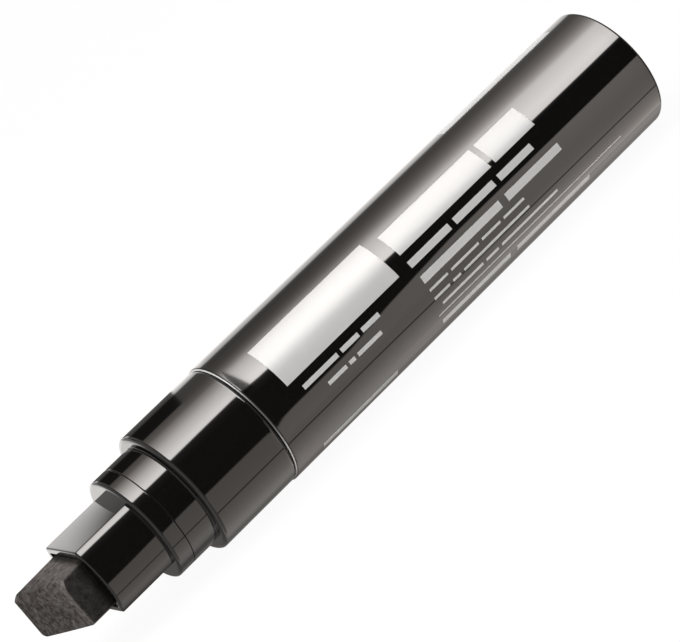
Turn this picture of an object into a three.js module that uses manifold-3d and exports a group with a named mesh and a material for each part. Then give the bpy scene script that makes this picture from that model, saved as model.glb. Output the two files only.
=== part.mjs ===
// Jumbo permanent marker with a chisel nib of felt, lying on its side with its cap pulled off.
// Units are millimetres. +Z is up, and the marker's axis runs along X, with the tail towards +X.
// The origin is on the surface that it lies on, below the middle of the marker and its cap.
// Places along the axis are measured from the barrel's mouth: plus is towards the tail.
import * as THREE from "three";
import * as BufferGeometryUtils from "three/addons/utils/BufferGeometryUtils.js";
import Module from "manifold-3d";

// Fits
const seatGap = 0.3; // between pieces that touch on the real marker
const roundSides = 64; // facets round the marker, an even number, so that one lies flat underneath

// Barrel: a drawn aluminium can, its mouth rolled in over the collar
const barrelRadius = 14.3;
const barrelLength = 108.2;
const barrelWall = 0.6;
const tailWall = 1.0;
const tailEdge = 0.45;
const lipDepth = 0.55;
const lipLength = 1.6;

// Collar: the plastic plug in the barrel's mouth, with the neck that the cap closes over
const collarStep = 0.25; // how far the collar lies under the barrel's surface
const collarLength = 18.9;
const collarEdge = 0.5;
const shoulderEdge = 1.4;
const lipGroove = 0.7; // open groove between the collar and the barrel's lip
const plugDepth = 9.0;
const plugWall = 1.4;
const plugChamfer = 0.6;
const neckLength = 9.75;
const partingEdge = 0.25;
const webThickness = 2.0;

// Nib holder: a flange on the neck's front, a tube with two flats, and a stem in the neck
const flangeLength = 3.9;
const neckEdge = 1.0;
const holderLength = 13.45;
const holderWall = 1.2;
const holderRim = 0.3;
const stemWall = 0.8;
const stemLength = 11.0;
const ribWidth = 1.2;
const ribSpacing = 6.4;
const ribSetback = 4.5;

// Nib: a block of felt, cut at a slant
const nibWidth = 13.9;
const nibThickness = 10.9;
const nibReach = 11.3; // from the holder's rim to the point
const nibSlant = 5.9; // how much further the long side reaches
const nibCorner = 1.3;
const nibEdge = 0.7;
const nibGap = 0.8; // between the nib's flat sides and the holder
const nibSeatDepth = 5.0; // how far it reaches into the reservoir

// Reservoir: a round fibre core in a film sleeve
const wrapWall = 0.4;
const wrapOverhang = 0.6;

// Cap: a shell, and a liner that seals on the neck
const capWall = 1.1;
const capEnd = 1.6;
const capEndRound = 2.4;
const capRimEdge = 0.25;
const linerWall = 0.7;
const linerSetback = 1.6;
const tipClearance = 0.9;
const sealClearance = 0.6;
const capPulledOff = 18.2; // from the nib's point to the open rim of the cap

// Radii worked out from these
const barrelBore = barrelRadius - barrelWall;
const collarRadius = barrelRadius - collarStep;
const plugRadius = barrelBore - seatGap;
const lipBore = barrelBore - lipDepth;
const capBore = barrelRadius - capWall;
const linerRadius = capBore - seatGap;
const linerBore = linerRadius - linerWall;
const neckRadius = linerBore - seatGap;
const nibCornerReach = Math.hypot(nibWidth / 2 - nibEdge, nibThickness / 2 - nibEdge) + nibEdge;
const holderBore = nibCornerReach + 2 * seatGap;
const holderRadius = holderBore + holderWall;
const boreFlat = nibThickness / 2 + nibGap;
const holderFlat = boreFlat + holderWall;
const stemRadius = holderBore + stemWall;
const sealBore = holderRadius + sealClearance;
const wrapRadius = barrelBore - seatGap;
const reservoirRadius = wrapRadius - wrapWall - seatGap;

// Places along the axis, from the barrel's mouth
const collarBack = -lipGroove;
const shoulder = collarBack - collarLength;
const neckFront = shoulder - neckLength;
const parting = neckFront + flangeLength;
const holderFront = neckFront - holderLength;
const nibPoint = holderFront - nibReach;
const stemBack = parting + stemLength;
const webFront = stemBack + seatGap;
const webBack = webFront + webThickness;
const barrelFloor = barrelLength - tailWall;
const reservoirFront = plugDepth + seatGap;
const reservoirBack = barrelFloor - seatGap;
const nibBack = reservoirFront + nibSeatDepth;
const capSeat = shoulder - seatGap;
const capRim = nibPoint - capPulledOff;

// Depths in the cap, from its rim
const sealDepth = capSeat - neckFront + seatGap;
const linerFloor = capSeat - nibPoint + tipClearance;
const linerBack = linerFloor + linerWall;
const capFloor = linerBack + seatGap;
const capLength = capFloor + capEnd;

const black = 0x111111;

const wasm = await Module();
wasm.setup();

// Rounds the corners of an outline. Each corner is [x, y] or [x, y, radius], and each radius
// becomes an arc that touches both sides. The first and last corners of an open outline stay sharp.
function roundedOutline(corners, closed) {
  const arcSteps = 4;
  const points = [];
  corners.forEach(([x, y, radius = 0], i) => {
    const corner = new THREE.Vector2(x, y);
    const isEnd = !closed && (i === 0 || i === corners.length - 1);
    if (isEnd || radius === 0) {
      points.push(corner);
      return;
    }
    const before = corners.at(i - 1);
    const after = corners[(i + 1) % corners.length];
    const back = new THREE.Vector2(before[0], before[1]).sub(corner);
    const ahead = new THREE.Vector2(after[0], after[1]).sub(corner);
    const room = Math.min(back.length(), ahead.length()) / 2;
    back.normalize();
    ahead.normalize();
    const halfAngle = Math.acos(THREE.MathUtils.clamp(back.dot(ahead), -1, 1)) / 2;
    const tangent = Math.min(radius / Math.tan(halfAngle), room);
    const start = corner.clone().addScaledVector(back, tangent);
    const end = corner.clone().addScaledVector(ahead, tangent);
    const middle = back.clone().add(ahead).normalize();
    const centre = corner.clone().addScaledVector(middle, tangent / Math.cos(halfAngle));
    const from = start.clone().sub(centre);
    const sweep = Math.atan2(from.cross(end.clone().sub(centre)), from.dot(end.clone().sub(centre)));
    for (let step = 0; step <= arcSteps; step += 1) {
      points.push(start.clone().rotateAround(centre, (sweep * step) / arcSteps));
    }
  });
  return points;
}

// Turns a profile of [along, radius, fillet] corners round the marker's axis.
function turned(corners, closed) {
  const points = roundedOutline(corners.map(([along, radius, fillet]) => [radius, along, fillet]), closed);
  if (THREE.ShapeUtils.area(points) < 0) {
    points.reverse();
  }
  if (closed) {
    points.push(points[0].clone());
  }
  const geometry = new THREE.LatheGeometry(points, roundSides, Math.PI / roundSides);
  geometry.rotateZ(-Math.PI / 2);
  return geometry;
}

// Carries a section, drawn across (Y) and up (Z), along the axis. The rim rounds both end edges.
function carried(section, from, to, rim, curveSegments) {
  const geometry = new THREE.ExtrudeGeometry(section, {
    depth: to - from - 2 * rim,
    curveSegments,
    bevelEnabled: rim > 0,
    bevelThickness: rim,
    bevelSize: rim,
    bevelOffset: -rim,
    bevelSegments: 2,
  });
  const across = new THREE.Vector3(0, 1, 0);
  const up = new THREE.Vector3(0, 0, 1);
  const along = new THREE.Vector3(1, 0, 0);
  geometry.applyMatrix4(new THREE.Matrix4().makeBasis(across, up, along));
  geometry.translate(from + rim, 0, 0);
  return geometry;
}

function box(lowX, highX, middleY, width, lowZ, highZ) {
  const geometry = new THREE.BoxGeometry(highX - lowX, width, highZ - lowZ);
  geometry.translate((lowX + highX) / 2, middleY, (lowZ + highZ) / 2);
  return geometry;
}

function toSolid(geometry) {
  const bare = geometry.clone();
  bare.deleteAttribute("normal");
  bare.deleteAttribute("uv");
  const merged = BufferGeometryUtils.mergeVertices(bare, 1e-5);
  const vertProperties = new Float32Array(merged.attributes.position.array);
  const triVerts = new Uint32Array(merged.index.array);
  return new wasm.Manifold(new wasm.Mesh({ numProp: 3, vertProperties, triVerts }));
}

function toGeometry(solid) {
  const mesh = solid.getMesh();
  const geometry = new THREE.BufferGeometry();
  geometry.setAttribute("position", new THREE.BufferAttribute(mesh.vertProperties, 3));
  geometry.setIndex(new THREE.BufferAttribute(mesh.triVerts, 1));
  geometry.computeVertexNormals();
  return geometry;
}

function piece(name, geometry, color, roughness, metalness) {
  const mesh = new THREE.Mesh(geometry, new THREE.MeshStandardMaterial({ color, roughness, metalness }));
  mesh.name = name;
  return mesh;
}

// A circle cut off by two flats, as the holder's tube has
function twoFlats(radius, flat) {
  const turn = Math.asin(flat / radius);
  const section = new THREE.Shape();
  section.absarc(0, 0, radius, -turn, turn, false);
  section.absarc(0, 0, radius, Math.PI - turn, Math.PI + turn, false);
  section.closePath();
  return section;
}

function makeBarrel() {
  const lipRadius = barrelRadius - lipDepth;
  return turned([
    [barrelFloor, 0],
    [barrelFloor, barrelBore, tailEdge],
    [lipLength, barrelBore, lipLength],
    [0, lipBore],
    [0, lipRadius],
    [lipLength / 2, barrelRadius, lipLength],
    [barrelLength, barrelRadius, tailEdge],
    [barrelLength, 0],
  ], false);
}

function makeCollar() {
  const grooveRadius = lipBore - seatGap;
  const grooveBack = lipLength + seatGap;
  const stemBore = stemRadius + seatGap;
  const webBore = nibCornerReach + 2 * seatGap;
  const plugBore = plugRadius - plugWall;
  return turned([
    [parting, neckRadius, partingEdge],
    [shoulder, neckRadius],
    [shoulder, collarRadius, shoulderEdge],
    [collarBack, collarRadius, collarEdge],
    [collarBack, grooveRadius],
    [grooveBack, grooveRadius],
    [grooveBack, plugRadius],
    [plugDepth - plugChamfer, plugRadius],
    [plugDepth, plugRadius - plugChamfer],
    [plugDepth, plugBore],
    [webBack, plugBore],
    [webBack, webBore],
    [webFront, webBore],
    [webFront, stemBore],
    [parting, stemBore],
  ], true);
}

function makeNibHolder() {
  const flangeBack = parting - seatGap;
  const root = toSolid(turned([
    [neckFront, 0],
    [neckFront, neckRadius, neckEdge],
    [flangeBack, neckRadius, partingEdge],
    [flangeBack, stemRadius],
    [stemBack, stemRadius],
    [stemBack, 0],
  ], false));
  const overlap = flangeLength / 2;
  const tubeSteps = 10;
  const tube = toSolid(
    carried(twoFlats(holderRadius, holderFlat), holderFront, neckFront + overlap, holderRim, tubeSteps),
  );
  const bore = toSolid(
    carried(twoFlats(holderBore, boreFlat), holderFront - overlap, stemBack + overlap, 0, tubeSteps),
  );
  let holder = root.add(tube).subtract(bore);
  const ribTop = nibThickness / 2 + seatGap;
  const ribRoot = boreFlat + holderWall / 2;
  for (const side of [-1, 1]) {
    for (const row of [-1, 1]) {
      const low = side > 0 ? ribTop : -ribRoot;
      const high = side > 0 ? ribRoot : -ribTop;
      const rib = box(holderFront + ribSetback, stemBack, (row * ribSpacing) / 2, ribWidth, low, high);
      holder = holder.add(toSolid(rib));
    }
  }
  return toGeometry(holder);
}

// The felt block, seen from above: square behind, slanted in front, and longest on its +Y side
function makeNib() {
  const half = nibWidth / 2;
  const plan = roundedOutline([
    [nibPoint, half, nibCorner],
    [nibPoint + nibSlant, -half, nibCorner],
    [nibBack, -half, nibCorner],
    [nibBack, half, nibCorner],
  ], true);
  const depth = nibThickness - 2 * nibEdge;
  const geometry = new THREE.ExtrudeGeometry(new THREE.Shape(plan), {
    depth,
    bevelEnabled: true,
    bevelThickness: nibEdge,
    bevelSize: nibEdge,
    bevelOffset: -nibEdge,
    bevelSegments: 3,
  });
  geometry.translate(0, 0, -depth / 2);
  return geometry;
}

function makeReservoir() {
  const core = toSolid(turned([
    [reservoirFront, 0],
    [reservoirFront, reservoirRadius],
    [reservoirBack, reservoirRadius],
    [reservoirBack, 0],
  ], false));
  const pocketWidth = nibWidth + 2 * seatGap;
  const pocketTop = nibThickness / 2 + seatGap;
  const pocketFront = reservoirFront - nibSeatDepth;
  const pocket = toSolid(box(pocketFront, nibBack + seatGap, 0, pocketWidth, -pocketTop, pocketTop));
  return toGeometry(core.subtract(pocket));
}

function makeReservoirWrap() {
  const bore = wrapRadius - wrapWall;
  const front = reservoirFront + wrapOverhang;
  const back = reservoirBack - wrapOverhang;
  return turned([
    [front, bore],
    [front, wrapRadius],
    [back, wrapRadius],
    [back, bore],
  ], true);
}

// The cap's profiles run from its rim towards its closed end, which is towards -X.
function makeCapShell() {
  const innerRound = capEndRound - capWall;
  return turned([
    [-capFloor, 0],
    [-capFloor, capBore, innerRound],
    [0, capBore, capRimEdge],
    [0, barrelRadius, capRimEdge],
    [-capLength, barrelRadius, capEndRound],
    [-capLength, 0],
  ], false);
}

function makeCapLiner() {
  const linerRound = 1.2;
  const leadIn = 0.3;
  return turned([
    [-linerFloor, 0],
    [-linerFloor, sealBore, linerRound],
    [-sealDepth, sealBore],
    [-sealDepth, linerBore],
    [-linerSetback - leadIn, linerBore],
    [-linerSetback, linerBore + leadIn],
    [-linerSetback, linerRadius],
    [-sealDepth - linerWall, linerRadius],
    [-sealDepth - linerWall, sealBore + linerWall],
    [-linerBack, sealBore + linerWall, linerRound + linerWall],
    [-linerBack, 0],
  ], false);
}

const marker = new THREE.Group();
marker.add(
  piece("barrel", makeBarrel(), black, 0.25, 0.6),
  piece("collar", makeCollar(), black, 0.2, 0),
  piece("nib_holder", makeNibHolder(), black, 0.2, 0),
  piece("nib", makeNib(), 0x2b2928, 0.95, 0),
  piece("reservoir", makeReservoir(), 0x1c1b1e, 0.95, 0),
  piece("reservoir_wrap", makeReservoirWrap(), 0xd8d8d8, 0.3, 0),
);

const cap = new THREE.Group();
cap.add(
  piece("cap_shell", makeCapShell(), black, 0.2, 0),
  piece("cap_liner", makeCapLiner(), 0xdedcd6, 0.5, 0),
);
cap.position.x = capRim;

const axisHeight = barrelRadius * Math.cos(Math.PI / roundSides);
const middle = (barrelLength + capRim - capLength) / 2;
const part = new THREE.Group();
part.add(marker, cap);
part.position.set(-middle, 0, axisHeight);

export default part;
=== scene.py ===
# Looks of the jumbo permanent marker: smooth gloss pieces, felt nib, plain print, soft studio light.
# Sizes in the dictionaries are millimetres. "Along" runs on the marker's axis from the barrel's mouth,
# plus towards the tail. Angles round the axis start at the side that faces -Y and go up from there.
import math

import bmesh
import bpy
import numpy as np
from mathutils import Matrix, Vector


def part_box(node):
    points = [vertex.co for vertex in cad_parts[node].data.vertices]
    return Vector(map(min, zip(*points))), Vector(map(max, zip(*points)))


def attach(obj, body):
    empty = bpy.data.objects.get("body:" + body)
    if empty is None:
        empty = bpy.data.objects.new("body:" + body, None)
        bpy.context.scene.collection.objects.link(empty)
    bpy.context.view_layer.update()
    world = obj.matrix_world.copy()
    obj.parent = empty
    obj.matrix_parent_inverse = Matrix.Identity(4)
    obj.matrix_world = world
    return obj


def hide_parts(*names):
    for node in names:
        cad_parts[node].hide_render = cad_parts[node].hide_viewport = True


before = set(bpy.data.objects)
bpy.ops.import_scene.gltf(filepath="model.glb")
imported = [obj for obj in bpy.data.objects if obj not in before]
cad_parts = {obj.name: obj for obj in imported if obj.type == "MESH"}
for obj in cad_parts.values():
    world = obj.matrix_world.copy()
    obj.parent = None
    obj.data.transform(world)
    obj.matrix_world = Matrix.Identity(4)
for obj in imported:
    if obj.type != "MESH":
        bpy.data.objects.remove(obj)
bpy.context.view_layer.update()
scene = bpy.context.scene
scene.view_settings.view_transform = "Standard"

mm = 0.001
barrelLow, barrelHigh = (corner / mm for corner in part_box("barrel"))
capLow, capHigh = (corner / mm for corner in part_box("cap_shell"))
mouthX = barrelLow.x
axisZ = (barrelLow.z + barrelHigh.z) / 2
barrelRadius = (barrelHigh.z - barrelLow.z) / 2
barrelLength = barrelHigh.x - barrelLow.x
capRimX = capHigh.x
capRadius = (capHigh.z - capLow.z) / 2
capLength = capHigh.x - capLow.x
print("frame loaded, barrel", round(barrelLength, 1), "mm long and", round(2 * barrelRadius, 1), "mm across")


def addObject(name, data):
    thing = bpy.data.objects.new(name, data)
    scene.collection.objects.link(thing)
    return thing


# Camera
cameraLook = {
    "eye": (-156.69, -480.22, 174.40),
    "target": (29.64, 0.39, 15.46),
    "roll": -37.784,  # degrees
    "lens": 147.83,
    "nearest": 10.0,
    "farthest": 20000.0,
}


def makeCamera(look):
    data = bpy.data.cameras.new("camera")
    data.lens = look["lens"]
    data.clip_start = look["nearest"] * mm
    data.clip_end = look["farthest"] * mm
    camera = addObject("camera", data)
    eye = Vector(look["eye"]) * mm
    target = Vector(look["target"]) * mm
    turn = (target - eye).to_track_quat("-Z", "Y").to_matrix().to_4x4()
    roll = Matrix.Rotation(math.radians(look["roll"]), 4, "Z")
    camera.matrix_world = Matrix.Translation(eye) @ turn @ roll
    scene.camera = camera


makeCamera(cameraLook)


# Outlines and grids
gridRules = {
    "guard": 0.12,  # from a rounding to the guard point beside it
    "guardShare": 0.4,  # at most this share of half the side
    "longStep": 4,  # guards
    "arcSteps": 8,
    "easeSteps": 12,
    "around": 256,
    "mergeWithin": 1e-7,  # metres
    "sharpAbove": 32,  # degrees
}


# Each corner is (along, radius[, fillet]). A fillet becomes an arc that touches both sides, with a guard
# point just outside each of its ends, so that smooth shading stays flat on the straight parts.
def roundedOutline(corners):
    points = []
    last = len(corners) - 1
    for i, corner in enumerate(corners):
        spot = np.array(corner[:2], float)
        fillet = corner[2] if len(corner) > 2 else 0.0
        if i in (0, last) or fillet == 0:
            points.append(spot)
            continue
        back = np.array(corners[i - 1][:2], float) - spot
        ahead = np.array(corners[i + 1][:2], float) - spot
        halfSide = min(np.linalg.norm(back), np.linalg.norm(ahead)) / 2
        back /= np.linalg.norm(back)
        ahead /= np.linalg.norm(ahead)
        halfAngle = math.acos(np.clip(back @ ahead, -1, 1)) / 2
        tangent = min(fillet / math.tan(halfAngle), halfSide)
        start = spot + back * tangent
        end = spot + ahead * tangent
        middle = (back + ahead) / np.linalg.norm(back + ahead)
        centre = spot + middle * tangent / math.cos(halfAngle)
        a, b = start - centre, end - centre
        sweep = math.atan2(a[0] * b[1] - a[1] * b[0], a @ b)
        turns = sweep * np.linspace(0, 1, gridRules["arcSteps"] + 1)
        arc = centre + np.outer(np.cos(turns), a) + np.outer(np.sin(turns), [-a[1], a[0]])
        spare = min(gridRules["guard"], gridRules["guardShare"] * halfSide)
        points.append(start + back * spare)
        points.extend(arc)
        points.append(end + ahead * spare)
    return np.array(points)


# Adds a point just beside each end of every long straight step, for the same reason
def guarded(points):
    guard = gridRules["guard"]
    out = [points[0]]
    for a, b in zip(points[:-1], points[1:]):
        length = np.linalg.norm(b - a)
        if length > gridRules["longStep"] * guard:
            out.append(a + (b - a) * guard / length)
            out.append(b - (b - a) * guard / length)
        out.append(b)
    return np.array(out)


# An edge drawn in along a quarter of an ellipse: length * (1 - cos), and depth * (1 - sin)
def easedEdge(along, radius, depth, length):
    turns = np.linspace(0, math.pi / 2, gridRules["easeSteps"])
    return [(along + length * (1 - math.cos(turn)), radius - depth * (1 - math.sin(turn))) for turn in turns]


# The quads between the rows and columns of a grid of point numbers
def gridQuads(index):
    corners = [index[:-1, :-1], index[:-1, 1:], index[1:, 1:], index[1:, :-1]]
    return np.stack(corners, axis=-1).reshape(-1, 4).tolist()


# grid is (rows, columns, 3) in millimetres. Columns close round, and rows close too if wrapRows. Rows that
# shrink to a point are merged into a pole, and the faces are turned outwards.
def meshFromGrid(name, grid, wrapRows=False):
    rows, columns = grid.shape[:2]
    index = np.arange(rows * columns).reshape(rows, columns)
    index = np.hstack([index, index[:, :1]])
    if wrapRows:
        index = np.vstack([index, index[:1]])
    mesh = bpy.data.meshes.new(name)
    mesh.from_pydata(grid.reshape(-1, 3) * mm, [], gridQuads(index))
    shape = bmesh.new()
    shape.from_mesh(mesh)
    bmesh.ops.remove_doubles(shape, verts=shape.verts, dist=gridRules["mergeWithin"])
    bmesh.ops.recalc_face_normals(shape, faces=shape.faces)
    shape.to_mesh(mesh)
    shape.free()
    mesh.shade_smooth()
    mesh.set_sharp_from_angle(angle=math.radians(gridRules["sharpAbove"]))
    return addObject(name, mesh)


# Point = axis + radius at the angle: across is -radius * cos, up is radius * sin
def roundTheAxis(along, radius, angle):
    along, radius, angle = np.broadcast_arrays(along, radius, angle)
    return np.stack([mouthX + along, -radius * np.cos(angle), axisZ + radius * np.sin(angle)], axis=-1)


def turnedPiece(name, corners, closed=False):
    outline = [*corners, corners[0]] if closed else corners
    profile = guarded(roundedOutline(outline))
    if closed:
        profile = profile[:-1]
    angle = np.linspace(0, 2 * math.pi, gridRules["around"], endpoint=False)
    grid = roundTheAxis(profile[:, :1], profile[:, 1:], angle[None, :])
    return meshFromGrid(name, grid, wrapRows=closed)


def dress(piece, body, material, slot, *nodes):
    piece.data.materials.append(material)
    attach(piece, body)
    if nodes:
        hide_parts(*nodes)


# Nodes: each input is given a number, a colour or another node's output
def addNode(tree, kind, inputs, **settings):
    node = tree.nodes.new("ShaderNode" + kind)
    for key, value in settings.items():
        setattr(node, key, value)
    for label, value in inputs.items():
        if isinstance(value, bpy.types.NodeSocket):
            tree.links.new(value, node.inputs[label])
        else:
            node.inputs[label].default_value = value
    return node


def mathNode(tree, operation, *values):
    return addNode(tree, "Math", dict(enumerate(values)), operation=operation).outputs["Value"]


def product(tree, result, *others):
    for value in others:
        result = mathNode(tree, "MULTIPLY", result, value)
    return result


rising = (0.0, 1.0)
falling = (1.0, 0.0)


# As the value runs over the span, the result runs over the reach, and it stays there beyond the ends
def spanNode(tree, value, span, reach=rising, soft=False):
    kind = "SMOOTHSTEP" if soft else "LINEAR"
    ends = {"From Min": span[0], "From Max": span[1], "To Min": reach[0], "To Max": reach[1]}
    return addNode(tree, "MapRange", {"Value": value, **ends}, interpolation_type=kind).outputs["Result"]


def noiseNode(tree, vector, scale, detail, **more):
    inputs = {"Vector": vector, "Scale": scale, "Detail": detail, **more}
    return addNode(tree, "TexNoise", inputs).outputs["Fac"]


def mixColors(tree, factor, first, second):
    inputs = {"Factor": factor, "A": first, "B": second}
    return addNode(tree, "Mix", inputs, data_type="RGBA").outputs["Result"]


# The angle round the axis in degrees, for a place or a direction seen from the axis
def angleNode(tree, across, up):
    radians = mathNode(tree, "ARCTAN2", up, product(tree, across, -1.0))
    return product(tree, radians, 180 / math.pi)


def objectPlace(tree):
    return addNode(tree, "TexCoord", {}).outputs["Object"]


def separated(tree, vector):
    return addNode(tree, "SeparateXYZ", {"Vector": vector}).outputs


# Shader groups
def newGroup(name, inputs, outputs):
    group = bpy.data.node_groups.new(name, "ShaderNodeTree")
    for way, labels in (("INPUT", inputs), ("OUTPUT", outputs)):
        for label in labels:
            kind = "NodeSocketVector" if label == "Vector" else "NodeSocketFloat"
            group.interface.new_socket(name=label, in_out=way, socket_type=kind)
    return group, group.nodes.new("NodeGroupInput").outputs, group.nodes.new("NodeGroupOutput").inputs


glossWear = {
    "slowScale": 90.0,
    "slowDetail": 4.0,
    "dustScale": 2600.0,
    "dustDetail": 2.0,
    "dustSpan": (0.68, 0.76),
    "reliefDepth": 0.1,
    "ior": 1.5,
}


def makeHandledGloss(look):
    # gloss that has been handled: a slow change of roughness, and fine dust that roughens specks
    group, source, result = newGroup("handledGloss", ("Vector", "Base roughness", "Amount"),
                                     ("Roughness", "Height"))
    slow = noiseNode(group, source["Vector"], look["slowScale"], look["slowDetail"])
    dust = noiseNode(group, source["Vector"], look["dustScale"], look["dustDetail"])
    wear = mathNode(group, "ADD", slow, spanNode(group, dust, look["dustSpan"]))
    rough = mathNode(group, "MULTIPLY_ADD", wear, source["Amount"], source["Base roughness"])
    group.links.new(rough, result["Roughness"])
    group.links.new(slow, result["Height"])
    return group


feltFibres = {
    "fibreDetail": 6.0,
    "fibreRoughness": 0.7,
    "distortion": 0.6,
    "tuftDetail": 3.0,
    "tuftShare": 0.45,
    "toneSpan": (0.32, 0.68),
    "roughness": 0.95,
    "specular": 0.25,
}


def makeFibreGrain(look):
    # packed fibres: fine twisted noise, over coarser tufts
    group, source, result = newGroup("fibreGrain", ("Vector", "Fibre scale", "Tuft scale"),
                                     ("Height", "Tone"))
    fibres = noiseNode(group, source["Vector"], source["Fibre scale"], look["fibreDetail"],
                       Roughness=look["fibreRoughness"], Distortion=look["distortion"])
    tufts = noiseNode(group, source["Vector"], source["Tuft scale"], look["tuftDetail"])
    blend = addNode(group, "Mix", {"Factor": look["tuftShare"], "A": fibres, "B": tufts}).outputs["Result"]
    group.links.new(blend, result["Height"])
    group.links.new(spanNode(group, blend, look["toneSpan"]), result["Tone"])
    return group


handledGloss = makeHandledGloss(glossWear)
fibreGrain = makeFibreGrain(feltFibres)


# Materials
def newMaterial(name, color, **sockets):
    material = bpy.data.materials.new(name)
    material.use_nodes = True
    shader = material.node_tree.nodes["Principled BSDF"]
    shader.inputs["Base Color"].default_value = (*color, 1)
    for label, value in sockets.items():
        shader.inputs[label.replace("_", " ")].default_value = value
    return material, material.node_tree, shader


def addRelief(tree, shader, height, strength, depth):
    relief = addNode(tree, "Bump", {"Height": height, "Strength": strength, "Distance": depth * mm})
    tree.links.new(relief.outputs["Normal"], shader.inputs["Normal"])


def glossMaterial(name, color, roughness, varying, relief, coat, coatRoughness):
    material, tree, shader = newMaterial(name, color, IOR=glossWear["ior"], Coat_IOR=glossWear["ior"],
                                         Coat_Weight=coat, Coat_Roughness=coatRoughness)
    wear = {"Vector": objectPlace(tree), "Base roughness": roughness, "Amount": varying}
    worn = addNode(tree, "Group", wear, node_tree=handledGloss)
    tree.links.new(worn.outputs["Roughness"], shader.inputs["Roughness"])
    addRelief(tree, shader, worn.outputs["Height"], relief, glossWear["reliefDepth"])
    return material


def cutEdgeMaterial(look):
    # painted shade darkens the bare aluminium towards the front, round the middle angle; above and below it
    # the metal keeps its bare tone
    material, tree, shader = newMaterial("cutMetal", look["bare"], Metallic=look["metallic"],
                                         Roughness=look["roughness"])
    place = separated(tree, objectPlace(tree))
    angle = angleNode(tree, place["Y"], mathNode(tree, "SUBTRACT", place["Z"], axisZ * mm))
    off = mathNode(tree, "ABSOLUTE", mathNode(tree, "SUBTRACT", angle, look["middle"]))
    share = spanNode(tree, off, (look["paintedShadeTo"], look["bareFrom"]), soft=True)
    tone = mixColors(tree, share, (*look["paintedShade"], 1), (*look["bare"], 1))
    tree.links.new(tone, shader.inputs["Base Color"])
    return material


def feltMaterial(look):
    material, tree, shader = newMaterial(look["name"], look["light"], Roughness=feltFibres["roughness"],
                                         Specular_IOR_Level=feltFibres["specular"])
    place = objectPlace(tree)
    scales = {"Vector": place, "Fibre scale": look["fibreScale"], "Tuft scale": look["tuftScale"]}
    grain = addNode(tree, "Group", scales, node_tree=fibreGrain).outputs
    color = mixColors(tree, grain["Tone"], (*look["dark"], 1), (*look["light"], 1))
    height = grain["Height"]
    if "ground" in look:
        color, height = groundFelt(tree, separated(tree, place), color, height, look["ground"])
    tree.links.new(color, shader.inputs["Base Color"])
    addRelief(tree, shader, height, look["relief"], look["reliefDepth"])
    return material


def groundFelt(tree, place, color, height, look):
    # the sides are darker than the top, grinding leaves upright lines across the end, and painted shadow of
    # the holder's rim darkens the felt just in front of it
    def span(value, name, reach=rising, soft=True):
        return spanNode(tree, value, [edge * mm for edge in look[name]], reach, soft)

    # the upper edge of the sides stays as light as the top, and their front corner too
    tip = mathNode(tree, "POWER", span(place["X"], "cornerSpan", falling, soft=False), 2.0)
    aboveEdge = mathNode(tree, "SUBTRACT", place["Z"], look["edgeAt"] * mm)
    aboveEdge = mathNode(tree, "MULTIPLY_ADD", tip, look["cornerDrop"] * mm, aboveEdge)
    aboveEdge = mathNode(tree, "MAXIMUM", aboveEdge, 0.0)
    offAxis = mathNode(tree, "SUBTRACT", mathNode(tree, "ABSOLUTE", place["Y"]), aboveEdge)
    scaled = {axis: product(tree, place[axis], look["lineScale"][axis]) for axis in "XYZ"}
    stretched = addNode(tree, "CombineXYZ", scaled).outputs["Vector"]
    lines = noiseNode(tree, stretched, 1.0, look["lineDetail"])
    grooves = product(tree, lines, span(place["X"], "endSpan"))
    height = mathNode(tree, "MULTIPLY_ADD", grooves, look["lineDepth"], height)
    shade = product(
        tree,
        spanNode(tree, grooves, look["lineTone"], (1.0, look["lineShade"])),
        span(offAxis, "sideSpan", (1.0, look["sideShade"])),
        span(place["Z"], "topSpan", (1.0, look["topShade"])),
        # painted shadow of the holder's rim, on the felt just in front of it
        span(place["X"], "paintedRimShadowSpan", (1.0, look["paintedRimShadowLevel"])),
    )
    shaded = addNode(tree, "VectorMath", {0: color, "Scale": shade}, operation="SCALE")
    return shaded.outputs["Vector"], height


black = (0.003, 0.003, 0.003)
blackPlastic = glossMaterial("blackPlastic", black, roughness=0.025, varying=0.018,
                             relief=0.015, coat=0.8, coatRoughness=0.015)
barrelLacquer = glossMaterial("barrelLacquer", black, roughness=0.02, varying=0.012,
                              relief=0.008, coat=0.8, coatRoughness=0.012)
cutMetal = cutEdgeMaterial({
    # painted shade, where the ring faces the front
    "paintedShade": (0.18, 0.174, 0.168),
    "bare": (1.0, 0.98, 0.96),
    "middle": 13.0,  # degrees round the axis
    "paintedShadeTo": 6.0,
    "bareFrom": 42.0,
    "metallic": 0.25,
    "roughness": 0.38,
})
printWhite = glossMaterial("printWhite", (0.84, 0.83, 0.82), roughness=0.30, varying=0.05,
                           relief=0.02, coat=1.0, coatRoughness=0.22)
linerPlastic = glossMaterial("linerPlastic", (0.70, 0.69, 0.65), roughness=0.38, varying=0.08,
                             relief=0.04, coat=0.0, coatRoughness=0.1)
wrapFilm = glossMaterial("wrapFilm", (0.66, 0.67, 0.68), roughness=0.18, varying=0.05,
                         relief=0.02, coat=0.3, coatRoughness=0.05)
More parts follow.
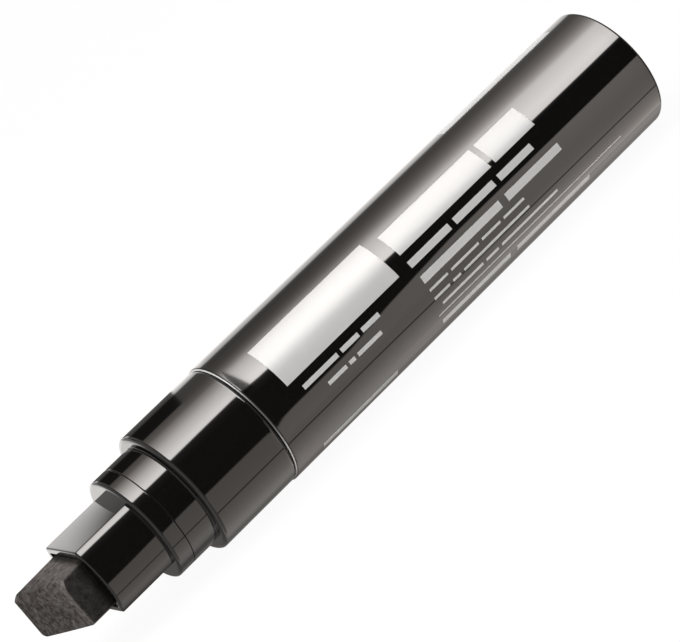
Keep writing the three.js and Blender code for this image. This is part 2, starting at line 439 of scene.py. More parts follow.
nibFelt = feltMaterial({
    "name": "nibFelt",
    "dark": (0.04, 0.036, 0.033),
    "light": (0.335, 0.30, 0.28),
    "fibreScale": 2600.0,
    "tuftScale": 800.0,
    "relief": 0.8,
    "reliefDepth": 0.3,
    "ground": {
        "sideSpan": (6.5, 6.9),  # off the axis to each side
        "sideShade": 0.21,
        "edgeAt": axisZ + 5.1,
        "cornerSpan": (mouthX - 48.2, mouthX - 46.9),
        "cornerDrop": 2.4,
        "topSpan": (axisZ + 4.4, axisZ + 5.2),
        "topShade": 0.9,
        # painted shadow of the holder's rim on the felt
        "paintedRimShadowSpan": (mouthX - 44.6, mouthX - 43.1),
        "paintedRimShadowLevel": 0.22,
        "endSpan": (mouthX - 47.5, mouthX - 49.0),
        "lineScale": {"X": 400.0, "Y": 1500.0, "Z": 1000.0},
        "lineDetail": 2.0,
        "lineDepth": 0.6,
        "lineTone": (0.35, 0.62),
        "lineShade": 0.5,
    },
})
inkFibre = feltMaterial({
    "name": "inkFibre",
    "dark": (0.008, 0.008, 0.012),
    "light": (0.05, 0.05, 0.06),
    "fibreScale": 1100.0,
    "tuftScale": 300.0,
    "relief": 0.6,
    "reliefDepth": 0.3,
})
print("materials made")


# Barrel: an aluminium can in gloss black, its mouth rolled in
barrelLook = {
    "wall": 0.6,
    "tailWall": 1.0,
    "tailEdge": 0.45,
    "lipDepth": 0.2,
    "lipLength": 0.15,
    "lipInside": 0.1,  # how far the lip's inner edge lies inside the bare one
    "cutEdge": 0.46,  # width of bare metal that shows
    "cutBack": 0.02,  # how far the bead's middle lies behind the mouth
    "beadSteps": 20,
}


def makeBarrel(look):
    bore = barrelRadius - look["wall"]
    lipRadius = barrelRadius - look["lipDepth"]
    floorAt = barrelLength - look["tailWall"]
    can = turnedPiece("barrelCan", [
        (floorAt, 0),
        (floorAt, bore, look["tailEdge"]),
        (look["lipLength"], bore),
        (0, lipRadius - look["cutEdge"] - look["lipInside"]),
        *easedEdge(0, barrelRadius, look["lipDepth"], look["lipLength"]),
        (barrelLength, barrelRadius, look["tailEdge"]),
        (barrelLength, 0),
    ])
    dress(can, "marker", barrelLacquer, "coated_barrel", "barrel")
    # the bare cut edge is a round bead on the mouth: centre + half its width at each turn
    half = look["cutEdge"] / 2
    bead = [(look["cutBack"] + half * math.cos(turn), lipRadius - half + half * math.sin(turn))
            for turn in np.linspace(0, 2 * math.pi, look["beadSteps"], endpoint=False)]
    edge = turnedPiece("cutEdge", bead, closed=True)
    dress(edge, "marker", cutMetal, "coated_barrel")


makeBarrel(barrelLook)


# Collar: the plug in the barrel's mouth, with the neck
collarLook = {
    "step": 0.25,  # down from the barrel's surface
    "back": -0.4,
    "length": 19.2,
    "shoulderEdge": (1.15, 0.75),  # depth and length
    "backEdge": (0.35, 0.62),
    "neckRadius": 11.9,
    "neckLength": 9.95,
    "neckFoot": 0.12,
    "flangeLength": 3.85,
    "partingEdge": 0.07,
    "plugDepth": 9.0,
    "plugRadius": 13.38,
    "plugChamfer": 0.6,
    "plugBore": 12.0,
    "grooveRadius": 12.82,
    "grooveBack": 1.9,
    "stemBore": 10.25,
    "webFront": -14.15,
    "webBack": -12.15,
    "webBore": 9.15,
}


def makeCollar(look):
    radius = barrelRadius - look["step"]
    shoulder = look["back"] - look["length"]
    parting = shoulder - look["neckLength"] + look["flangeLength"]
    collar = turnedPiece("collarPlug", [
        (parting, look["stemBore"]),
        (parting, look["neckRadius"], look["partingEdge"]),
        (shoulder, look["neckRadius"], look["neckFoot"]),
        *easedEdge(shoulder, radius, *look["shoulderEdge"]),
        *easedEdge(look["back"], radius, look["backEdge"][0], -look["backEdge"][1])[::-1],
        (look["back"], look["grooveRadius"]),
        (look["grooveBack"], look["grooveRadius"]),
        (look["grooveBack"], look["plugRadius"]),
        (look["plugDepth"] - look["plugChamfer"], look["plugRadius"]),
        (look["plugDepth"], look["plugRadius"] - look["plugChamfer"]),
        (look["plugDepth"], look["plugBore"]),
        (look["webBack"], look["plugBore"]),
        (look["webBack"], look["webBore"]),
        (look["webFront"], look["webBore"]),
        (look["webFront"], look["stemBore"]),
    ], closed=True)
    dress(collar, "marker", blackPlastic, "gloss_black", "collar")
    return shoulder, parting


shoulder, parting = makeCollar(collarLook)
neckFront = parting - collarLook["flangeLength"]


# Nib holder: flange, flat-sided tube and stem
holderLook = {
    "gap": 0.12,
    "flangeRadius": 11.9,
    "flangeEdge": (0.75, 0.6),
    "length": 13.25,
    "radius": 10.35,
    "flat": 7.45,
    "crown": 0.11,  # how far each flat falls away at its two long edges
    "crownEnd": 1.2,  # half chords from the middle, where the fall stops
    "boreWidth": 14.2,
    "boreHeight": 12.1,
    "boreSharpness": 28,
    "mouthFlare": ((0.3, 0.0), (0.12, 0.04), (0.0, 0.16)),  # behind the front edge, and how much wider
    "rim": 0.36,
    "rimSteps": 7,
    "guard": 0.15,
    "stemRadius": 9.95,
    "stemLength": 11.0,
    "cornerSharpness": 220,
    "around": 720,
}
tiny = 1e-6


# Radius of a circle cut by two flats, as a smooth least of the circle and the flat's distance:
# (circle^-p + flat^-p)^(-1/p). A flat of None leaves the circle. The crown lowers the flat by
# crown * (place across / half chord)^2, so that it bulges slightly.
def flattenedRadius(look, radius, flat, angle):
    circle = np.full_like(angle, radius)
    if flat is None:
        return circle
    halfChord = math.sqrt(max(radius ** 2 - flat ** 2, tiny))
    across = flat / np.maximum(np.abs(np.tan(angle)), tiny) / halfChord
    fall = look["crown"] * np.minimum(across, look["crownEnd"]) ** 2
    toFlat = (flat - fall) / np.maximum(np.abs(np.sin(angle)), tiny)
    least = np.minimum(circle, toFlat)
    sharpness = look["cornerSharpness"]
    ratio = (circle / least) ** -sharpness + (toFlat / least) ** -sharpness
    return least * ratio ** (-1 / sharpness)


# Radius of a rectangle with rounded corners: (|cos / half width|^p + |sin / half height|^p)^(-1/p)
def boxedRadius(halfWidth, halfHeight, angle, sharpness):
    wide = np.abs(np.cos(angle) / halfWidth) ** sharpness
    high = np.abs(np.sin(angle) / halfHeight) ** sharpness
    return (wide + high) ** (-1 / sharpness)


def makeHolder(look):
    front = neckFront - look["length"]
    flangeBack = parting - look["gap"]
    stemBack = parting + look["stemLength"]
    rim, guard = look["rim"], look["guard"]
    # each row: along, radius, flat or None, and how far the outline is drawn in
    rows = [(front + rim * (1 - math.sin(turn)), look["radius"], look["flat"], rim * (1 - math.cos(turn)))
            for turn in np.linspace(math.pi / 2, 0, look["rimSteps"])]
    straight = (front + rim + guard, neckFront - guard, neckFront)
    rows += [(along, look["radius"], look["flat"], 0) for along in straight]
    flange = guarded(roundedOutline([
        (neckFront, look["flangeRadius"] - look["flangeEdge"][0] - guard),
        *easedEdge(neckFront, look["flangeRadius"], *look["flangeEdge"]),
        (flangeBack, look["flangeRadius"], collarLook["partingEdge"]),
        (flangeBack, look["stemRadius"]),
        (stemBack, look["stemRadius"]),
    ]))
    rows += [(along, radius, None, 0) for along, radius in flange]
    angle = np.linspace(0, 2 * math.pi, look["around"], endpoint=False)
    rings = []
    for along, radius, flat, inset in rows:
        drawnIn = None if flat is None else flat - inset
        rings.append(roundTheAxis(along, flattenedRadius(look, radius - inset, drawnIn, angle), angle))
    # the bore fits the felt's block
    flare = [(front + behind, wider) for behind, wider in look["mouthFlare"]]
    for along, wider in [(stemBack, 0), (stemBack - guard, 0), *flare]:
        halves = look["boreWidth"] / 2 + wider, look["boreHeight"] / 2 + wider
        rings.append(roundTheAxis(along, boxedRadius(*halves, angle, look["boreSharpness"]), angle))
    holder = meshFromGrid("holderTube", np.stack(rings), wrapRows=True)
    dress(holder, "marker", blackPlastic, "gloss_black", "nib_holder")
    return front


holderFront = makeHolder(holderLook)


# Nib: felt block cut at a slant
nibLook = {
    "width": 13.9,
    "thickness": 10.9,
    "reach": 11.3,
    "slant": 5.9,
    "back": 14.3,
    "edge": 1.05,
    "faceRound": 0.5,
    "lowFall": 0.5,
    "topFall": 0.3,
    "wornCorner": 1.25,
    "wornRun": 0.8,
    "wornFrom": 1.5,  # off the axis
    "nearWear": 1.3,
    "nearDrop": 2.6,
    "nearFrom": 3.0,
    "arcSteps": 8,
    "sideSteps": 28,
    "faceRings": 26,
    "rimRings": 7,
    "blockRings": (0.006, 0.25, 60),  # first and last as shares of the block's length, and how many
}


# A rectangle with round corners: a quarter arc at each corner, then equal steps along the next side
def roundedBlockSection(halfWidth, halfHeight, corner, arcSteps, sideSteps):
    centres = np.array([(1, 1), (-1, 1), (-1, -1), (1, -1)]) * (halfWidth - corner, halfHeight - corner)
    steps = np.linspace(0, 1, sideSteps, endpoint=False)[:, None]
    pieces = []
    for quarter, (centre, following) in enumerate(zip(centres, np.roll(centres, -1, axis=0))):
        turn = np.linspace(0, math.pi / 2, arcSteps + 1) + quarter * math.pi / 2
        arc = centre + corner * np.stack([np.cos(turn), np.sin(turn)], axis=1)
        pieces += [arc[:-1], arc[-1] + (following - centre) * steps]
    return np.concatenate(pieces)


def makeNib(look):
    front = holderFront - look["reach"]
    halfW, halfT = look["width"] / 2, look["thickness"] / 2
    section = roundedBlockSection(halfW, halfT, look["edge"], look["arcSteps"], look["sideSteps"])
    # the end face in rings from its middle, then its round rim, then the sides back to the tail of the felt
    inner = 1 - look["faceRound"] / halfT
    turns = np.linspace(0, math.pi / 2, look["rimRings"] + 1)[1:]
    depths = np.concatenate([np.zeros(look["faceRings"]), look["faceRound"] * (1 - np.cos(turns))])
    runs = np.append(np.linspace(*look["blockRings"]), 1.0)
    shares = np.concatenate([np.linspace(0, inner, look["faceRings"]), inner + (1 - inner) * np.sin(turns),
                             np.ones(len(runs)), [0]])
    across = shares[:, None] * section[:, 0]
    up = shares[:, None] * section[:, 1]
    face = front + look["slant"] * (0.5 + across / look["width"])
    faceEnd = len(depths)
    along = np.full_like(across, look["back"])
    along[:faceEnd] = face[:faceEnd] + depths[:, None]
    along[faceEnd:-1] = along[faceEnd - 1] * (1 - runs[:, None]) + look["back"] * runs[:, None]
    # the top falls away a little towards the tip, and the long side's upper corner is worn off:
    # where (depth behind the face) * run + (depth below the top) < wear, the point moves back
    toTip = np.clip((holderFront - along) / look["reach"], 0, 1)
    farSide = np.clip((-across - look["wornFrom"]) / (halfW - look["wornFrom"]), 0, 1) ** 2
    lowSide = np.clip((halfW - across) / look["width"], 0, 1)
    up = up * (1 - np.where(up > 0, look["topFall"], look["lowFall"] * lowSide) / halfT * toTip)
    below = halfT - look["topFall"] * toTip - up
    along = np.maximum(along, face + (look["wornCorner"] * farSide - below) / look["wornRun"])
    # the short side's upper corner is rounded: wear * (1 - depth below the top / drop)^2
    nearSide = np.clip((across - look["nearFrom"]) / (halfW - look["nearFrom"]), 0, 1) ** 2
    rounding = np.clip(1 - below / look["nearDrop"], 0, 1) ** 2
    along = np.maximum(along, face + look["nearWear"] * nearSide * rounding)
    nib = meshFromGrid("feltNib", np.stack([mouthX + along, -across, axisZ + up], axis=2))
    dress(nib, "marker", nibFelt, "felt", "nib")


makeNib(nibLook)

for node, material in (("reservoir", inkFibre), ("reservoir_wrap", wrapFilm)):
    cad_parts[node].data.materials.clear()
    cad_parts[node].data.materials.append(material)


# Print on the barrel: plain bars only, where the photo has its print
printLook = {
    "proud": 0.01,
    "thickness": 0.016,
    "angleSteps": 1.2,  # for each degree
    "angleEdge": 0.12,
    "alongSteps": 0.5,  # for each millimetre
    "alongEdge": 0.03,
    # each row: lower and upper edge in degrees, then where its bars start and end along the barrel
    "rows": {
        "printPanel": (15.8, 57.6, (7.0, 38.3)),
        "printTitle": (27.0, 50.5, (41.5, 68.0), (69.3, 81.0)),
        "printRowHigh": (13.6, 19.6, (41.4, 53.0), (54.4, 66.0), (67.4, 77.2)),
        "printRowLow": (-2.2, 4.6, (41.4, 64.2), (66.0, 81.8)),
        "printLineHigh": (-10.4, -8.2, (41.4, 46.6), (47.6, 55.6), (56.6, 62.0), (63.0, 69.0)),
        "printLineMiddle": (-19.0, -16.6, (41.4, 45.8), (46.8, 49.0), (50.0, 69.2)),
        "printLineLow": (-28.0, -25.4, (42.6, 54.4), (55.4, 59.0), (60.0, 76.6)),
        "printRule": (-35.2, -34.0, (40.8, 95.5)),
        "printRowGrey": (-48.0, -42.0, (41.4, 61.4), (63.4, 85.4)),
        "printSideHigh": (4.4, 8.4, (9.2, 18.6), (19.6, 24.4), (25.4, 30.2)),
        "printSideLow": (-7.0, -3.6, (13.6, 18.6), (19.4, 21.0), (21.8, 28.4)),
        "printFoot": (-56.0, -49.0, (7.2, 28.2)),
        "printBack": (87.0, 99.0, (69.8, 102.0)),
    },
}


def edgedSteps(start, end, density, edge):
    # even steps, at least three, with two guard steps at each end
    count = max(3, int((end - start) * density))
    inner = np.linspace(start + 2 * edge, end - 2 * edge, count)
    return np.concatenate([[start, start + edge], inner, [end - edge, end]])


def printedRow(name, low, high, bars):
    # each bar is a patch of the cylinder: point = axis + radius at the angle, for steps of place and angle
    radius = barrelRadius + printLook["proud"]
    angle = np.radians(edgedSteps(low, high, printLook["angleSteps"], printLook["angleEdge"]))
    points = []
    quads = []
    count = 0
    for start, end in bars:
        along = edgedSteps(start, end, printLook["alongSteps"], printLook["alongEdge"])
        sheet = roundTheAxis(along[None, :], radius, angle[:, None])
        index = count + np.arange(angle.size * along.size).reshape(angle.size, along.size)
        points.append(sheet.reshape(-1, 3))
        quads += gridQuads(index)
        count += index.size
    mesh = bpy.data.meshes.new(name)
    mesh.from_pydata(np.concatenate(points) * mm, [], quads)
    mesh.shade_smooth()
    row = addObject(name, mesh)
    wall = row.modifiers.new("wall", "SOLIDIFY")
    wall.thickness = printLook["thickness"] * mm
    wall.offset = -1
    dress(row, "marker", printWhite, "coated_barrel")


for name, (low, high, *bars) in printLook["rows"].items():
    printedRow(name, low, high, bars)
print("marker made")


# Cap: shell and liner
capLook = {
    "wall": 1.1,
    "end": 1.6,
    "endRound": 2.4,
    "rimEdge": 0.25,
    "linerWall": 0.7,
    "linerSetback": 1.6,
    "linerFloor": 35.1,
    "sealDepth": 9.75,
    "sealBore": 10.95,
    "leadIn": 0.3,
    "floorRound": 1.2,
    "gap": 0.3,
    "softEdge": 0.15,
    "frontEdge": 0.1,
}


def makeCap(look):
    rim = capRimX - mouthX
    bore = capRadius - look["wall"]
    floorAt = rim - capLength + look["end"]
    shell = turnedPiece("capShell", [
        (floorAt, 0),
        (floorAt, bore, look["endRound"] - look["wall"]),
        (rim, bore, look["rimEdge"]),
        (rim, capRadius, look["rimEdge"]),
        (rim - capLength, capRadius, look["endRound"]),
        (rim - capLength, 0),
    ])
    dress(shell, "cap", blackPlastic, "gloss_black", "cap_shell")
    wall = look["linerWall"]
    linerRadius = bore - look["gap"]
    linerBore = linerRadius - wall
    front = rim - look["linerSetback"]
    seal = rim - look["sealDepth"]
    back = rim - look["linerFloor"]
    liner = turnedPiece("capLiner", [
        (back, 0),
        (back, look["sealBore"], look["floorRound"]),
        (seal, look["sealBore"], look["softEdge"]),
        (seal, linerBore, look["softEdge"]),
        (front - look["leadIn"], linerBore),
        (front, linerBore + look["leadIn"]),
        (front, linerRadius, look["frontEdge"]),
        (seal - wall, linerRadius, look["softEdge"]),
        (seal - wall, look["sealBore"] + wall, look["softEdge"]),
        (back - wall, look["sealBore"] + wall, look["floorRound"] + wall),
        (back - wall, 0),
    ])
    dress(liner, "cap", linerPlastic, "soft_liner", "cap_liner")


makeCap(capLook)
print("cap made")


# Floor, and the shade under the marker
floorLook = {
    "size": 4000.0,
    "drop": 0.04,
    "color": (0.95, 0.95, 0.95),
    "roughness": 0.8,
    "white": 1.05,
    "shadowShare": 0.10,
}
stripLook = {
    "halfLength": 300.0,
    "drop": 0.02,
    "from": -9.4,
    "to": 46.0,
    "middle": 9.0,
    "halfDark": 14.2,
    "soft": 4.0,
    "towardsTail": (-30.0, 100.0),  # its levels change along this stretch
    "dark": (0.17, 0.28),
    "clear": (0.7, 0.9),
}
warmLight = (1.06, 1.0, 0.95, 1)


def levelSheet(name, materialName, low, high, drop):
    # a flat sheet from one corner to the other, with a new material
    corners = [(low[0], low[1]), (high[0], low[1]), (high[0], high[1]), (low[0], high[1])]
    mesh = bpy.data.meshes.new(name)
    mesh.from_pydata([(x * mm, y * mm, -drop * mm) for x, y in corners], [], [(0, 1, 2, 3)])
    material = bpy.data.materials.new(materialName)
    material.use_nodes = True
    mesh.materials.append(material)
    return addObject(name, mesh), material.node_tree


def makeFloor(look):
    half = look["size"] / 2
    floor, tree = levelSheet("floor", "floorWhite", (-half, -half), (half, half), look["drop"])
    floor.visible_glossy = False
    shader = tree.nodes["Principled BSDF"]
    shader.inputs["Base Color"].default_value = (*look["color"], 1)
    shader.inputs["Roughness"].default_value = look["roughness"]
    # the camera sees mostly plain white, and a share of the lit floor for the shadow
    glow = addNode(tree, "Emission", {"Strength": look["white"]}).outputs["Emission"]
    seen = addNode(tree, "LightPath", {}).outputs["Is Camera Ray"]
    share = product(tree, seen, 1 - look["shadowShare"])
    mix = addNode(tree, "MixShader", {"Fac": share, 1: shader.outputs["BSDF"], 2: glow})
    tree.links.new(mix.outputs["Shader"], tree.nodes["Material Output"].inputs["Surface"])


def makeStrip(look):
    # only gloss sees this strip: the shade that the marker casts under itself, as its pieces mirror it
    reach = look["halfLength"]
    low, high = (-reach, look["from"]), (reach, look["to"])
    strip, tree = levelSheet("shadeStrip", "stripShade", low, high, look["drop"])
    strip.visible_camera = False
    strip.visible_diffuse = False
    strip.visible_shadow = False
    strip.visible_transmission = False
    tree.nodes.remove(tree.nodes["Principled BSDF"])
    place = separated(tree, objectPlace(tree))
    offMiddle = mathNode(tree, "SUBTRACT", place["Y"], look["middle"] * mm)
    away = mathNode(tree, "ABSOLUTE", offMiddle)
    stretch = [end * mm for end in look["towardsTail"]]
    dark, clear = (spanNode(tree, place["X"], stretch, look[level]) for level in ("dark", "clear"))
    softEdge = (look["halfDark"] * mm, (look["halfDark"] + look["soft"]) * mm)
    level = spanNode(tree, away, softEdge, (dark, clear), soft=True)
    glow = addNode(tree, "Emission", {"Color": warmLight, "Strength": level})
    tree.links.new(glow.outputs["Emission"], tree.nodes["Material Output"].inputs["Surface"])


makeFloor(floorLook)
makeStrip(stripLook)


# Light
studio = {
    "ambient": (0.288, 0.288, 0.288, 1),
    "keySize": 600.0,
    "keyPower": 4.4,
    "keySpot": (-300.0, -150.0, 940.0),
    "fillSize": 500.0,
    "fillPower": 2.4,
    "fillSpot": (-950.0, -100.0, 300.0),
    "behindLow": 1.3,
    "behindHigh": 0.4,
    "leftWall": 0.5,
    "leftFoot": 0.42,
    "rightWall": 0.22,
    "rightBox": 0.35,
    "seamLevel": 0.25,
    "cornerLevel": 0.04,
    "flagShade": 0.9,
    "holderShade": 1.15,
    "holderShadeLeast": 0.05,
    "peak": 9.6,  # the brightness that the lists' ramps hold as 1
}

# The dim parts of the room are a little warmer than the soft box and the white wall behind
warmth = {
    "tint": (0.10, 0.0, -0.08),
    "boxLevel": 6.0,
    "boxCooling": 0.6,
    "wallAngle": 149.0,
    "wallShare": 0.3,
}

# Where the parts of the room start and end. An angle is that of the reflected ray round the marker's axis,
# in degrees, and a lean is how far the ray leans towards the tail (its x part).
room = {
    "nearToMiddleLean": (0.3015, 0.3035),
    "middleToTailLean": (0.33, 0.44),
    "cardAngle": (-17.0, 55.0),
    "fixedAngle": 120.0,
    "cornerFade": (-3.0, 3.0),
    "cornerAngle": (44.0, 52.0),
    "seamLean": (0.344, 0.463),
    "seamAngle": (-56.0, -61.4),
    "seamFade": (0.5, 2.0),
    "flagFootAngle": (-158.0, -152.0),
    "neckFlagAngle": (118.0, 121.5),
    "holderFlagAngle": (168.0, 172.0),
    "neckLean": (0.244, 0.249),
    "flagStartLean": (0.10, 0.14),
    "flagEndLean": (0.287, 0.2882),
    "upperAngle": (0.0, 1.0),
    "behindLean": (-0.1, 0.05),
    "holderShadeLean": (0.226, 0.246),
    "holderShadeAngle": (156.0, 166.0),
    "holderShadeFoot": (148.0, 155.0),
    "holderShadeEnd": (0.246, 0.249),
    "windowStartLean": (0.10, 0.20),
    "windowEndLean": (0.468, 0.5),
    "backAngle": (146.0, 154.0),
    "standLean": -0.34,
    "standFade": (0.07, 0.1),
    "cardFootAngle": (-20.0, -14.0),
    "farLeftLean": (-0.82, -0.7),
    "leftLean": (0.02, 0.14),
    "boxFootAngle": (54.0, 60.0),
    "boxTopAngle": (88.0, 108.0),
    "rightLean": (0.48, 0.56),
}

# What the gloss reflects: each list gives angles and the brightness there, for one lean. The angles are the
# ones at which the dark card in front of the marker ends at -17 and 55.
roomNear = [
    (-180, 1.05), (-160, 1.05), (-152, 0.28), (-125, 0.34), (-112, 0.6), (-100, 0.8), (-78, 0.82),
    (-60, 0.76), (-18.2, 0.72), (-16, 0.045), (40, 0.045), (50, 0.1), (54.2, 0.3), (55.4, 8.3), (62, 8.0),
    (67, 7.2), (72, 6.3), (77.5, 5.5), (83, 4.5), (88, 3.5), (94, 2.5), (100, 1.7), (106, 0.9), (113, 0.6),
    (119.5, 0.42), (128, 0.3), (142, 0.2), (155, 0.2), (157, 0.95), (161, 1.12), (165, 1.22),
]
roomMiddle = [
    (-180, 1.05), (-160, 1.0), (-150, 0.3), (-126, 0.55), (-112, 0.72), (-100, 0.88), (-86, 1.02),
    (-72, 0.96), (-60, 0.86), (-50, 0.88), (-40, 1.02), (-18.2, 0.96), (-16, 0.045), (40, 0.045),
    (50, 0.13), (54.2, 0.6), (55.4, 9.2), (61, 9.4), (66, 8.8), (76, 7.4), (81, 6.7), (86.5, 5.9),
    (92, 4.9), (98, 3.4), (104, 1.85), (110, 1.0), (117, 0.56), (125, 0.33), (142, 0.16), (153, 0.2),
    (158, 1.05),
]
roomTail = [
    (-180, 1.05), (-165, 1.0), (-150, 0.7), (-122, 1.26), (-110, 1.37), (-100, 1.3), (-90, 1.2),
    (-75, 1.15), (-60, 1.02), (-45, 1.06), (-30, 1.2), (-18.2, 1.3), (-16, 0.04), (45, 0.04), (50, 0.11),
    (54.2, 0.4), (55.6, 8.2), (62, 8.5), (66, 8.7), (74, 8.0), (83, 7.0), (88, 6.5), (93, 5.6), (98, 3.6),
    (103, 2.45), (109, 1.55), (116, 0.92), (124, 0.58), (132, 0.36), (142, 0.24), (153, 0.22), (160, 1.05),
]
# Where the dark card really ends, by the lean: its upper and lower edge in degrees
cardEdges = [
    (0.20, 59.5, -22.5), (0.237, 59.0, -22.0), (0.261, 57.6, -18.5), (0.285, 58.2, -18.3),
    (0.3028, 58.4, -18.6), (0.3034, 57.5, -22.0), (0.3052, 57.0, -22.5), (0.3058, 56.8, -20.0),
    (0.3065, 56.6, -18.5), (0.3075, 56.4, -17.5), (0.3089, 56.0, -16.6), (0.3105, 55.2, -16.2),
    (0.312, 54.6, -15.9), (0.341, 50.6, -15.2), (0.36, 48.2, -6.5), (0.392, 44.6, 1.0), (0.463, 42.4, 0.2),
]
# Behind the card the soft box ends in a round corner: below these angles it is dark, by the lean
boxCorner = [
    (0.3029, -60.0), (0.3032, 150.0), (0.3042, 128.0), (0.3048, 104.0), (0.3053, 84.0), (0.3058, 74.0),
    (0.3066, 65.0), (0.3077, 59.5), (0.3092, 56.5), (0.311, 54.0), (0.3125, -60.0),
]


def rampNode(tree, value, stops):
    node = addNode(tree, "ValToRGB", {"Fac": value})
    elements = node.color_ramp.elements
    elements.remove(elements[1])
    for i, (position, color) in enumerate(stops):
        stop = elements[0] if i == 0 else elements.new(position)
        stop.position = position
        stop.color = (*color, 1)
    return node.outputs["Color"]


# A line through the stops: the ramp holds each level as its share of the way from low to high
def curveNode(tree, value, stops, low, high):
    ramp = rampNode(tree, value, [(at, ((level - low) / (high - low), 0, 0)) for at, level in stops])
    share = addNode(tree, "SeparateColor", {"Color": ramp}).outputs["Red"]
    return mathNode(tree, "MULTIPLY_ADD", share, high - low, low)


def warmed(degrees, level):
    share = 1 - min(level / warmth["boxLevel"], 1) * warmth["boxCooling"]
    if abs(degrees) > warmth["wallAngle"]:
        share = warmth["wallShare"]
    return tuple(level / studio["peak"] * (1 + tint * share) for tint in warmth["tint"])


def roomColor(tree, lean, angle):
    # the dark card, the soft box above it and the floor and wall round them, from the three lists
    lower = curveNode(tree, lean, [(at, foot) for at, top, foot in cardEdges], -30.0, 30.0)
    upper = curveNode(tree, lean, [(at, top) for at, top, foot in cardEdges], 0.0, 120.0)
    # the angles between the fixed ones are drawn out, so that the card ends where the lists have it
    foot, top = room["cardAngle"]
    fixed = room["fixedAngle"]
    mapped = spanNode(tree, angle, (lower, upper), (foot, top))
    for span, reach in (
        ((upper, fixed), (0.0, fixed - top)),
        ((fixed, 180.0), (0.0, 180.0 - fixed)),
        ((-fixed, lower), (-fixed - foot, 0.0)),
        ((-180.0, -fixed), (fixed - 180.0, 0.0)),
    ):
        mapped = mathNode(tree, "ADD", mapped, spanNode(tree, angle, span, reach))
    share = mathNode(tree, "MULTIPLY_ADD", mapped, 1 / 360, 0.5)
    ramps = []
    for levels in (roomNear, roomMiddle, roomTail):
        stops = [((degrees + 180) / 360, warmed(degrees, level)) for degrees, level in levels]
        ramps.append(rampNode(tree, share, stops))
    color = mixColors(tree, spanNode(tree, lean, room["nearToMiddleLean"]), ramps[0], ramps[1])
    return mixColors(tree, spanNode(tree, lean, room["middleToTailLean"]), color, ramps[2])


def roomShade(tree, lean, angle, back):
    # the round corner of the soft box, which plays no part below the card's upper edge
    offCorner = mathNode(tree, "SUBTRACT", angle, curveNode(tree, lean, boxCorner, -60.0, 180.0))
    corner = spanNode(tree, offCorner, room["cornerFade"], (studio["cornerLevel"], 1.0), soft=True)
    corner = mathNode(tree, "MAXIMUM", corner, spanNode(tree, angle, room["cornerAngle"], falling))
    # a dark seam below the card
    seamAt = spanNode(tree, lean, room["seamLean"], room["seamAngle"])
    offSeam = mathNode(tree, "ABSOLUTE", mathNode(tree, "SUBTRACT", angle, seamAt))
    seam = spanNode(tree, offSeam, room["seamFade"], (studio["seamLevel"], 1.0), soft=True)
    # a black flag over the neck and collar, whose end shows on the collar; it spares the holder's flat
    below = spanNode(tree, angle, room["flagFootAngle"], falling, soft=True)
    overHolder, overNeck = (
        mathNode(tree, "MAXIMUM", spanNode(tree, angle, room[name], soft=True), below)
        for name in ("holderFlagAngle", "neckFlagAngle"))
    fromNeck = spanNode(tree, lean, room["neckLean"], soft=True)
    flag = product(
        tree,
        spanNode(tree, fromNeck, rising, (overHolder, overNeck)),
        spanNode(tree, lean, room["flagStartLean"], soft=True),
        spanNode(tree, lean, room["flagEndLean"], falling, soft=True),
    )
    flag = mathNode(tree, "MULTIPLY_ADD", flag, -studio["flagShade"], 1.0)
    behindUp = spanNode(tree, angle, room["upperAngle"], (studio["behindLow"], studio["behindHigh"]))
    behind = spanNode(tree, lean, room["behindLean"], (behindUp, 1.0))
    # the wall behind darkens towards the marker's top and tail, as the holder's flat shows
    holderShade = product(
        tree,
        spanNode(tree, lean, room["holderShadeLean"], (0.0, studio["holderShade"])),
        spanNode(tree, angle, room["holderShadeAngle"], (1.0, studio["holderShadeLeast"])),
        spanNode(tree, angle, room["holderShadeFoot"]),
        spanNode(tree, lean, room["holderShadeEnd"], falling),
    )
    behind = product(tree, behind, mathNode(tree, "SUBTRACT", 1.0, holderShade))
    # card and soft box end at the left and at the right, where the wall behind goes on
    fromLeft = spanNode(tree, lean, room["windowStartLean"], soft=True)
    toRight = spanNode(tree, lean, room["windowEndLean"], falling, soft=True)
    window = mathNode(tree, "MAXIMUM", product(tree, fromLeft, toRight), back)
    return product(tree, window, seam, flag, behind, corner)


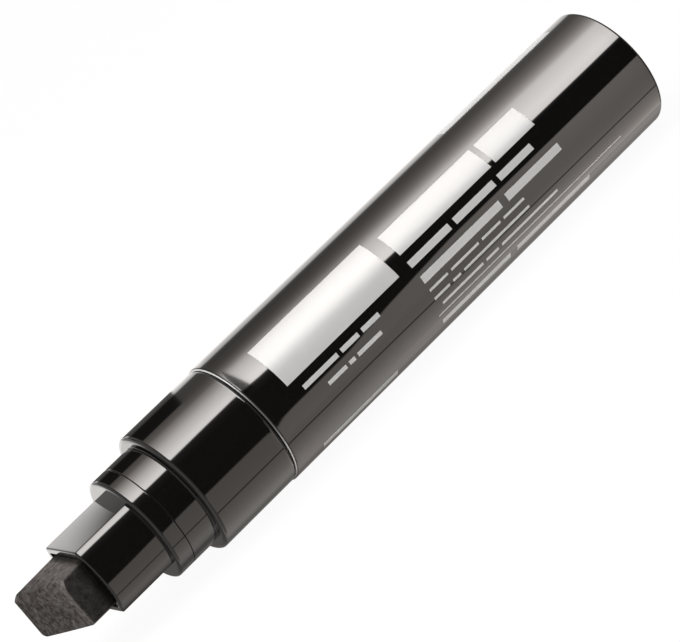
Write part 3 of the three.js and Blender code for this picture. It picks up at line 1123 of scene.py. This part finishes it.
def roomWalls(tree, lean, angle, back):
    # Beyond the ends of the card and the soft box there is plain grey wall, darker towards the tail.
    # The stand of the card is seen only where the shoulder mirrors the neck.
    offStand = mathNode(tree, "ABSOLUTE", mathNode(tree, "SUBTRACT", lean, room["standLean"]))
    overCard = spanNode(tree, offStand, room["standFade"], (0.0, studio["leftWall"]))
    underCard = spanNode(tree, angle, room["cardFootAngle"], (studio["leftFoot"], overCard), soft=True)
    farLeft = spanNode(tree, lean, room["farLeftLean"], (studio["leftWall"], underCard), soft=True)
    leftWall = spanNode(tree, lean, room["leftLean"], (farLeft, 0.0), soft=True)
    aboveFoot = spanNode(tree, angle, room["boxFootAngle"], soft=True)
    belowTop = spanNode(tree, angle, room["boxTopAngle"], falling, soft=True)
    boxLevels = (studio["rightWall"], studio["rightBox"])
    rightTone = spanNode(tree, product(tree, aboveFoot, belowTop), rising, boxLevels)
    rightWall = spanNode(tree, lean, room["rightLean"], (0.0, rightTone), soft=True)
    bothWalls = mathNode(tree, "ADD", leftWall, rightWall)
    return product(tree, bothWalls, mathNode(tree, "SUBTRACT", 1.0, back))


def backdrop(tree, color, strength):
    return addNode(tree, "Background", {"Color": color, "Strength": strength}).outputs["Background"]


def makeRoom():
    world = bpy.data.worlds.new("studioRoom")
    world.use_nodes = True
    scene.world = world
    tree = world.node_tree
    tree.nodes.clear()
    direction = separated(tree, addNode(tree, "TexCoord", {}).outputs["Generated"])
    lean = direction["X"]
    angle = angleNode(tree, direction["Y"], direction["Z"])
    back = spanNode(tree, mathNode(tree, "ABSOLUTE", angle), room["backAngle"])
    strength = product(tree, roomShade(tree, lean, angle, back), studio["peak"])
    shine = backdrop(tree, roomColor(tree, lean, angle), strength)
    walls = backdrop(tree, warmLight, roomWalls(tree, lean, angle, back))
    mirrored = addNode(tree, "AddShader", {0: shine, 1: walls}).outputs["Shader"]
    plain = backdrop(tree, studio["ambient"], 1.0)
    white = backdrop(tree, (1, 1, 1, 1), 1.0)
    path = addNode(tree, "LightPath", {}).outputs
    lit = addNode(tree, "MixShader", {"Fac": path["Is Glossy Ray"], 1: plain, 2: mirrored})
    seen = addNode(tree, "MixShader", {"Fac": path["Is Camera Ray"], 1: lit.outputs["Shader"], 2: white})
    addNode(tree, "OutputWorld", {"Surface": seen.outputs["Shader"]})


def makeLamp(name, size, power, spot):
    data = bpy.data.lights.new(name, "AREA")
    data.size = size * mm
    data.energy = power
    lamp = addObject(name, data)
    place = Vector(spot) * mm
    lamp.matrix_world = Matrix.Translation(place) @ (-place).to_track_quat("-Z", "Y").to_matrix().to_4x4()
    lamp.visible_glossy = False


makeRoom()
makeLamp("keyLamp", studio["keySize"], studio["keyPower"], studio["keySpot"])
makeLamp("fillLamp", studio["fillSize"], studio["fillPower"], studio["fillSpot"])
print("studio made")
